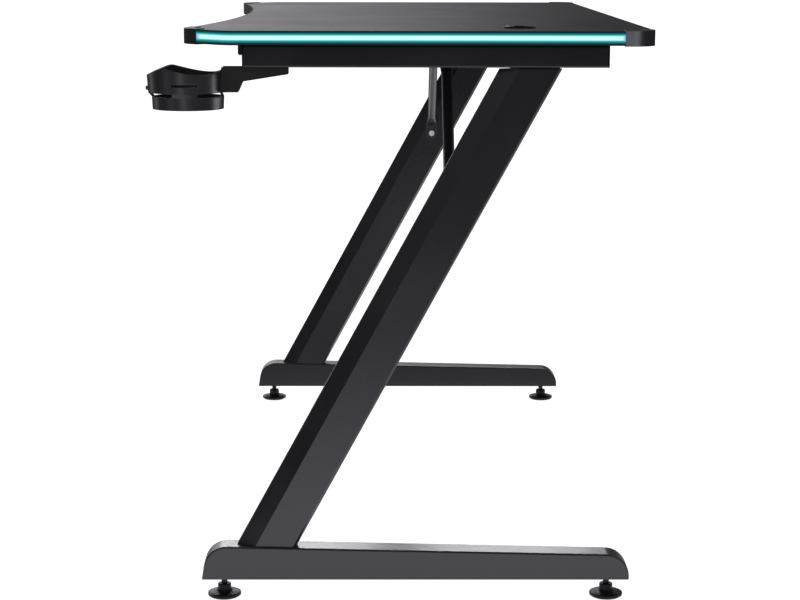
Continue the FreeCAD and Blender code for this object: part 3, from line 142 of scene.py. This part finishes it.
def add_camera():
    """Place the camera where the photo was taken from."""
    forward = Vector((
        -math.cos(CAMERA_PITCH) * math.cos(CAMERA_YAW),
        math.cos(CAMERA_PITCH) * math.sin(CAMERA_YAW),
        -math.sin(CAMERA_PITCH),
    ))
    level = Vector((math.sin(CAMERA_YAW), math.cos(CAMERA_YAW), 0))
    upright = level.cross(forward)
    right = level * math.cos(CAMERA_ROLL) + upright * math.sin(CAMERA_ROLL)
    up = upright * math.cos(CAMERA_ROLL) - level * math.sin(CAMERA_ROLL)
    data = bpy.data.cameras.new("photo_camera")
    data.sensor_fit = "HORIZONTAL"
    data.sensor_width = SENSOR_WIDTH
    data.lens = FOCAL_PIXELS / IMAGE_WIDTH * SENSOR_WIDTH
    data.clip_start = NEAREST_SEEN
    data.clip_end = FARTHEST_SEEN
    camera = bpy.data.objects.new("photo_camera", data)
    scene.collection.objects.link(camera)
    turn = Matrix((right, up, -forward)).transposed().to_4x4()
    camera.matrix_world = Matrix.Translation(CAMERA_PLACE) @ turn
    scene.camera = camera


# Node helpers.
def start_material(name):
    """Make a material and give its tree, its shader and the object's coordinates."""
    material = bpy.data.materials.new(name)
    material.use_nodes = True
    tree = material.node_tree
    shader = tree.nodes["Principled BSDF"]
    place = tree.nodes.new("ShaderNodeTexCoord").outputs["Object"]
    return material, tree, shader, place


def set_inputs(node, values):
    """Set a node's inputs, each given by its name."""
    for name, value in values.items():
        node.inputs[name].default_value = value


def math_node(tree, operation, first, second=None):
    """Add a math node; each input is a socket or a number."""
    node = tree.nodes.new("ShaderNodeMath")
    node.operation = operation
    for number, value in enumerate((first, second)):
        if value is None:
            continue
        if isinstance(value, (int, float)):
            node.inputs[number].default_value = value
        else:
            tree.links.new(value, node.inputs[number])
    return node.outputs[0]


def noise(tree, place, scale, detail=3.0):
    """Add a noise texture and give its grey value."""
    node = tree.nodes.new("ShaderNodeTexNoise")
    set_inputs(node, {"Scale": scale, "Detail": detail, "Roughness": NOISE_ROUGHNESS})
    tree.links.new(place, node.inputs["Vector"])
    return node.outputs["Fac"]


def ramp(tree, factor, stops, smooth=False):
    """Turn a grey value into colours; each stop is a place and a colour."""
    node = tree.nodes.new("ShaderNodeValToRGB")
    node.color_ramp.interpolation = "EASE" if smooth else "LINEAR"
    points = node.color_ramp.elements
    while len(points) < len(stops):
        points.new(0.5)
    for point, (at, color) in zip(points, stops):
        point.position = at
        point.color = (*color, 1)
    tree.links.new(factor, node.inputs["Fac"])
    return node.outputs["Color"]


def spread(tree, value, low, high, to_low, to_high):
    """Map a value from one range to another, held at both ends."""
    node = tree.nodes.new("ShaderNodeMapRange")
    set_inputs(node, {"From Min": low, "From Max": high, "To Min": to_low, "To Max": to_high})
    tree.links.new(value, node.inputs["Value"])
    return node.outputs["Result"]


def grey_curve(tree, value, points):
    """Give the grey that a row of points, each a value and its level, sets for a value."""
    start = points[0][0]
    length = points[-1][0] - start
    stops = [((at - start) / length, (level, level, level)) for at, level in points]
    return ramp(tree, spread(tree, value, start, start + length, 0.0, 1.0), stops)


def axis_of(tree, place, axis):
    """Give one coordinate of a place."""
    node = tree.nodes.new("ShaderNodeSeparateXYZ")
    tree.links.new(place, node.inputs[0])
    return node.outputs[axis]


def bump(tree, shader, height, strength, distance, edge=0.0):
    """Roughen a shader's surface by a grey height and soften its sharp edges by a small radius."""
    node = tree.nodes.new("ShaderNodeBump")
    set_inputs(node, {"Strength": strength, "Distance": distance})
    tree.links.new(height, node.inputs["Height"])
    if edge:
        softened = tree.nodes.new("ShaderNodeBevel")
        softened.samples = BEVEL_SAMPLES
        set_inputs(softened, {"Radius": edge})
        tree.links.new(softened.outputs["Normal"], node.inputs["Normal"])
    tree.links.new(node.outputs["Normal"], shader.inputs["Normal"])


def tint(tree, color, factor, low, high):
    """Multiply a colour by a grey value spread between two levels."""
    level = spread(tree, factor, NOISE_LOW, NOISE_HIGH, low, high)
    node = tree.nodes.new("ShaderNodeVectorMath")
    node.operation = "SCALE"
    tree.links.new(color, node.inputs[0])
    tree.links.new(level, node.inputs["Scale"])
    return node.outputs[0]


def mottle(tree, shader, patches, dark, light, roughness, uneven):
    """Vary a shader's colour and roughness by a noise's grey value."""
    color = ramp(tree, patches, [(NOISE_LOW, dark), (NOISE_HIGH, light)])
    tree.links.new(color, shader.inputs["Base Color"])
    rough = spread(tree, patches, NOISE_LOW, NOISE_HIGH, roughness - uneven, roughness + uneven)
    tree.links.new(rough, shader.inputs["Roughness"])


def shade(color, level):
    """Give a colour times a level."""
    return tuple(part * level for part in color)


# Materials.
def powder_coat(name, dark, light, gloss, roughness, lacquer=0.0, uneven=0.05):
    """Black powder coat with orange peel and a little uneven sheen, with or without clear lacquer."""
    material, tree, shader, place = start_material(name)
    patches = noise(tree, place, scale=9.0)
    peel = noise(tree, place, scale=900.0, detail=2.0)
    mottle(tree, shader, patches, dark, light, roughness, uneven)
    bump(tree, shader, peel, strength=0.1, distance=0.0003)
    set_inputs(shader, {"Specular IOR Level": gloss, "Specular Tint": COOL_SHEEN})
    set_inputs(shader, {"Coat Weight": lacquer, "Coat Roughness": 0.3})
    return material


def moulded_plastic(name, color, gloss=0.3, roughness=0.45, edge=0.0006):
    """Moulded plastic with a fine spark-eroded grain and softened edges."""
    material, tree, shader, place = start_material(name)
    patches = noise(tree, place, scale=25.0)
    pits = noise(tree, place, scale=1500.0, detail=1.0)
    mottle(tree, shader, patches, shade(color, 0.8), shade(color, 1.2), roughness, uneven=0.015)
    bump(tree, shader, pits, strength=0.15, distance=0.0003, edge=edge)
    set_inputs(shader, {"Specular IOR Level": gloss, "Specular Tint": COOL_SHEEN})
    return material


def woven_laminate(name):
    """Black desktop laminate printed with a fine twill, worn a little smoother in places."""
    material, tree, shader, place = start_material(name)
    along = math_node(tree, "DIVIDE", axis_of(tree, place, "X"), THREAD)
    across = math_node(tree, "DIVIDE", axis_of(tree, place, "Y"), THREAD)
    step = math_node(tree, "FLOOR", across)
    shifted = math_node(tree, "ADD", along, step)
    over = math_node(tree, "LESS_THAN", math_node(tree, "PINGPONG", shifted, TWILL), TWILL / 2)
    crown_along = math_node(tree, "PINGPONG", across, 0.5)
    crown_across = math_node(tree, "PINGPONG", along, 0.5)
    first = math_node(tree, "MULTIPLY", crown_along, over)
    second = math_node(tree, "MULTIPLY", crown_across, math_node(tree, "SUBTRACT", 1.0, over))
    weave = math_node(tree, "ADD", first, second)
    patches = noise(tree, place, scale=6.0)
    color = ramp(tree, weave, WEAVE_COLORS)
    tree.links.new(tint(tree, color, patches, low=0.9, high=1.1), shader.inputs["Base Color"])
    rough = spread(tree, patches, NOISE_LOW, NOISE_HIGH, to_low=0.3, to_high=0.36)
    tree.links.new(rough, shader.inputs["Roughness"])
    bump(tree, shader, weave, strength=0.2, distance=0.0004)
    set_inputs(shader, {"Specular IOR Level": 0.3})
    return material


def lit_strip(name):
    """Milky lit plastic: brightest along its middle, bluer beside the caps."""
    material, tree, shader, place = start_material(name)
    height = axis_of(tree, place, "Z")
    level = spread(tree, height, LIGHT_LOW, LIGHT_HIGH, 0.0, 1.0)
    stops = [(0.0, STRIP_EDGE), (0.3, STRIP_MIDDLE), (0.7, STRIP_MIDDLE), (1.0, STRIP_EDGE)]
    glow = ramp(tree, level, stops, smooth=True)
    run = axis_of(tree, place, "Y")
    front = spread(tree, run, LIGHT_FRONT, LIGHT_FRONT + STRIP_FRONT_END, 1.0, 0.0)
    back = spread(tree, run, LIGHT_BACK - STRIP_BACK_END, LIGHT_BACK, 0.0, 1.0)
    mix = tree.nodes.new("ShaderNodeMix")
    mix.data_type = "RGBA"
    tree.links.new(math_node(tree, "MAXIMUM", front, back), mix.inputs["Factor"])
    tree.links.new(glow, mix.inputs[6])
    mix.inputs[7].default_value = (*STRIP_END, 1)
    tree.links.new(mix.outputs[2], shader.inputs["Emission Color"])
    set_inputs(shader, {"Emission Strength": STRIP_STRENGTH, "Base Color": (0.02, 0.03, 0.03, 1)})
    set_inputs(shader, {"Roughness": 0.35, "Specular IOR Level": 0.1})
    return material


def lips_with_painted_glow(name):
    """Dark channel whose lips carry a painted glow for the strip's light, fading away from the strip."""
    material, tree, shader, place = start_material(name)
    height = axis_of(tree, place, "Z")
    above = spread(tree, height, LIGHT_HIGH, DESK_TOP, 1.0, 0.0)
    below = spread(tree, height, LIGHT_LOW - LOWER_LIP, LIGHT_LOW, 0.0, 1.0)
    near = math_node(tree, "MINIMUM", above, below)
    # painted glow: the lips emit the strip's light that would fall on them, strongest next to the strip
    tree.links.new(ramp(tree, near, LIP_PAINTED_GLOW), shader.inputs["Emission Color"])
    grain = noise(tree, place, scale=700.0, detail=1.0)
    bump(tree, shader, grain, strength=0.1, distance=0.0003)
    set_inputs(shader, {"Emission Strength": 1.0, "Base Color": (0.008, 0.012, 0.012, 1)})
    set_inputs(shader, {"Roughness": 0.4, "Specular IOR Level": 0.15})
    return material


def plated_steel(name, color, roughness=0.32):
    """Turned and plated steel with fine marks."""
    material, tree, shader, place = start_material(name)
    marks = noise(tree, place, scale=500.0, detail=4.0)
    mottle(tree, shader, marks, shade(color, 0.85), color, roughness, uneven=0.08)
    bump(tree, shader, marks, strength=0.06, distance=0.0002)
    set_inputs(shader, {"Metallic": 1.0})
    return material


def circuit_laminate(name):
    """Green circuit laminate with copper tracks under the lacquer."""
    material, tree, shader, place = start_material(name)
    tracks = tree.nodes.new("ShaderNodeTexBrick")
    set_inputs(tracks, {
        "Scale": 160.0,
        "Mortar Size": 0.03,
        "Color1": (0.01, 0.09, 0.03, 1),
        "Color2": (0.012, 0.11, 0.04, 1),
        "Mortar": (0.05, 0.2, 0.08, 1),
    })
    tree.links.new(place, tracks.inputs["Vector"])
    tree.links.new(tracks.outputs["Color"], shader.inputs["Base Color"])
    bump(tree, shader, tracks.outputs["Fac"], strength=0.1, distance=0.0001)
    set_inputs(shader, {"Roughness": 0.3})
    return material


def tape_material(name):
    """White tape with a row of small chips."""
    material, tree, shader, place = start_material(name)
    steps = math_node(tree, "DIVIDE", axis_of(tree, place, "Y"), CHIP_STEP)
    chip = math_node(tree, "LESS_THAN", math_node(tree, "PINGPONG", steps, 0.5), CHIP_SHARE)
    tree.links.new(ramp(tree, chip, TAPE_COLORS), shader.inputs["Base Color"])
    set_inputs(shader, {"Roughness": 0.45})
    return material


def make_materials():
    """Give one material for each slot of the record."""
    return {
        "board_laminate": woven_laminate("woven_laminate"),
        "edge_band": moulded_plastic("edge_band", (0.02, 0.02, 0.021), gloss=0.2),
        "cap_plastic": moulded_plastic("cap_plastic", SOOT, gloss=1.0, roughness=0.38),
        "led_channel": lips_with_painted_glow("channel_painted_glow"),
        "led_tape": tape_material("light_tape"),
        "led_diffuser": lit_strip("lit_diffuser"),
        "grommet_plastic": moulded_plastic("grommet_plastic", JET, gloss=0.5, roughness=0.3),
        "frame_paint": powder_coat("frame_paint", SOOT, GRAPHITE, gloss=0.6, roughness=0.4),
        "brace_paint": powder_coat("brace_paint", (0.006, 0.006, 0.006), (0.009, 0.009, 0.01), gloss=1.0,
                                   roughness=0.28, lacquer=1.0),
        "leg_paint": powder_coat("leg_paint", (0.014, 0.014, 0.016), (0.018, 0.018, 0.02), gloss=0.9,
                                 roughness=0.28),
        "foot_paint": powder_coat("foot_paint", (0.015, 0.015, 0.017), GRAPHITE, gloss=0.9, roughness=0.31,
                                  uneven=0.015),
        "end_cap_plastic": moulded_plastic("end_cap_plastic", (0.01, 0.01, 0.011), gloss=0.15),
        "pad_plastic": moulded_plastic("pad_plastic", JET, gloss=0.25),
        "stud_steel": plated_steel("stud_steel", (0.03, 0.03, 0.032)),
        "cup_plastic": moulded_plastic("cup_plastic", (0.02, 0.02, 0.022), gloss=0.8, roughness=0.34,
                                       edge=0.0015),
        "arm_plastic": moulded_plastic("arm_plastic", (0.022, 0.022, 0.023), gloss=0.2),
        "hook_plastic": moulded_plastic("hook_plastic", SOOT, gloss=0.25),
        "fastener_steel": plated_steel("fastener_steel", (0.92, 0.92, 0.94), roughness=0.5),
        "controller_plastic": moulded_plastic("controller_plastic", SOOT),
        "button_plastic": moulded_plastic("button_plastic", (0.06, 0.06, 0.062)),
        "circuit_laminate": circuit_laminate("circuit_laminate"),
        "inlet_plastic": moulded_plastic("inlet_plastic", SOOT, gloss=0.4, roughness=0.3),
    }


def dress_nodes():
    """Put each slot's material on its nodes."""
    materials = make_materials()
    for part in subparts:
        thing = nodes[part["node"]]
        for holder in thing.material_slots:
            holder.material = materials[part["material_slot"]]


# Studio.
def seen_directly(tree):
    """Give 1 where the camera looks, also through clear things, and 0 for other light."""
    path = tree.nodes.new("ShaderNodeLightPath")
    return math_node(tree, "MAXIMUM", path.outputs["Is Camera Ray"], path.outputs["Is Transmission Ray"])


def mix_shaders(tree, factor, first, second):
    """Mix two shaders by a factor."""
    node = tree.nodes.new("ShaderNodeMixShader")
    tree.links.new(factor, node.inputs["Fac"])
    tree.links.new(first, node.inputs[1])
    tree.links.new(second, node.inputs[2])
    return node.outputs[0]


def add_floor():
    """Lay a wide pale floor that shows white, keeps a soft shadow and glows with painted light round the
    desk and painted shade below it.
    """
    reach = FLOOR_REACH
    mesh = bpy.data.meshes.new("floor")
    mesh.from_pydata([(-reach, -reach, 0), (reach, -reach, 0), (reach, reach, 0), (-reach, reach, 0)], [],
                     [(0, 1, 2, 3)])
    floor = bpy.data.objects.new("floor", mesh)
    scene.collection.objects.link(floor)
    material = bpy.data.materials.new("floor_white")
    material.use_nodes = True
    tree = material.node_tree
    tree.nodes.clear()
    out = tree.nodes.new("ShaderNodeOutputMaterial")
    lit = tree.nodes.new("ShaderNodeEmission")
    place = tree.nodes.new("ShaderNodeTexCoord").outputs["Object"]
    # painted light and shade: for reflections and bounce light the floor glows bright round the desk and
    # dim below it
    tree.links.new(grey_curve(tree, axis_of(tree, place, "X"), FLOOR_LEVELS), lit.inputs["Color"])
    side = math_node(tree, "ABSOLUTE", axis_of(tree, place, "Y"))
    tree.links.new(spread(tree, side, *FLOOR_FADE, 1.0, FLOOR_FAINT), lit.inputs["Strength"])
    shown = tree.nodes.new("ShaderNodeAddShader")
    glow = tree.nodes.new("ShaderNodeEmission")
    set_inputs(glow, {"Strength": FLOOR_GLOW})
    faint = tree.nodes.new("ShaderNodeBsdfDiffuse")
    set_inputs(faint, {"Color": FLOOR_GREY})
    tree.links.new(glow.outputs[0], shown.inputs[0])
    tree.links.new(faint.outputs[0], shown.inputs[1])
    both = mix_shaders(tree, seen_directly(tree), lit.outputs[0], shown.outputs[0])
    tree.links.new(both, out.inputs["Surface"])
    mesh.materials.append(material)


def background(tree, color, strength=1.0):
    """Add a background of one colour."""
    node = tree.nodes.new("ShaderNodeBackground")
    set_inputs(node, {"Color": color, "Strength": strength})
    return node


def studio_level(tree):
    """Give the brightness of the studio in the direction of a reflection."""
    way = tree.nodes.new("ShaderNodeTexCoord").outputs["Generated"]
    across, along, upward = (axis_of(tree, way, axis) for axis in "XYZ")
    far_side = spread(tree, across, *NEAR_WALL_FADE, 1.0, NEAR_WALL_SHARE)
    walls = math_node(tree, "MULTIPLY", grey_curve(tree, along, STUDIO_LEVELS), far_side)
    ceiling = spread(tree, upward, *CEILING_RISE, 0.0, CEILING_LEVEL)
    overhead = math_node(tree, "MULTIPLY", ceiling, spread(tree, across, *CEILING_FADE, 1.0, 0.0))
    back_wall = spread(tree, along, *BACK_WALL_RISE, 0.0, 1.0)
    front_corner = math_node(tree, "MULTIPLY", spread(tree, across, *CORNER_RISE, 0.0, 1.0),
                             spread(tree, along, *CORNER_FADE, 1.0, 0.0))
    upper_walls = math_node(tree, "MULTIPLY", spread(tree, upward, *UPPER_WALL_RISE, 0.0, UPPER_WALL_LEVEL),
                            math_node(tree, "MAXIMUM", back_wall, front_corner))
    above = math_node(tree, "MAXIMUM", overhead, upper_walls)
    return math_node(tree, "MAXIMUM", walls, above)


def add_world():
    """Surround the scene with white; reflections see a studio that is pale behind on the left."""
    world = bpy.data.worlds.new("studio")
    scene.world = world
    world.use_nodes = True
    tree = world.node_tree
    tree.nodes.clear()
    out = tree.nodes.new("ShaderNodeOutputWorld")
    white = background(tree, WHITE)
    soft = background(tree, WHITE, SOFT_LEVEL)
    studio = background(tree, COOL_STUDIO)
    tree.links.new(studio_level(tree), studio.inputs["Strength"])
    mirrored = tree.nodes.new("ShaderNodeLightPath").outputs["Is Glossy Ray"]
    around = mix_shaders(tree, mirrored, soft.outputs[0], studio.outputs[0])
    tree.links.new(mix_shaders(tree, seen_directly(tree), around, white.outputs[0]), out.inputs["Surface"])


def add_lamp(name, place, target, size, power, slots):
    """Hang a soft rectangular lamp, not seen itself, that lights all pieces or those of some slots."""
    data = bpy.data.lights.new(name, "AREA")
    data.shape = "RECTANGLE"
    data.size, data.size_y = size
    data.energy = power
    lamp = bpy.data.objects.new(name, data)
    scene.collection.objects.link(lamp)
    aim = Vector(target) - Vector(place)
    lamp.rotation_euler = aim.to_track_quat("-Z", "Y").to_euler()
    lamp.location = place
    lamp.visible_camera = False
    if slots:
        lit = bpy.data.collections.new(name + "_pieces")
        for part in subparts:
            if part["material_slot"] in slots:
                lit.objects.link(nodes[part["node"]])
        lamp.light_linking.receiver_collection = lit


dress_nodes()
add_floor()
add_world()
for row in LAMPS:
    add_lamp(*row)
add_camera()
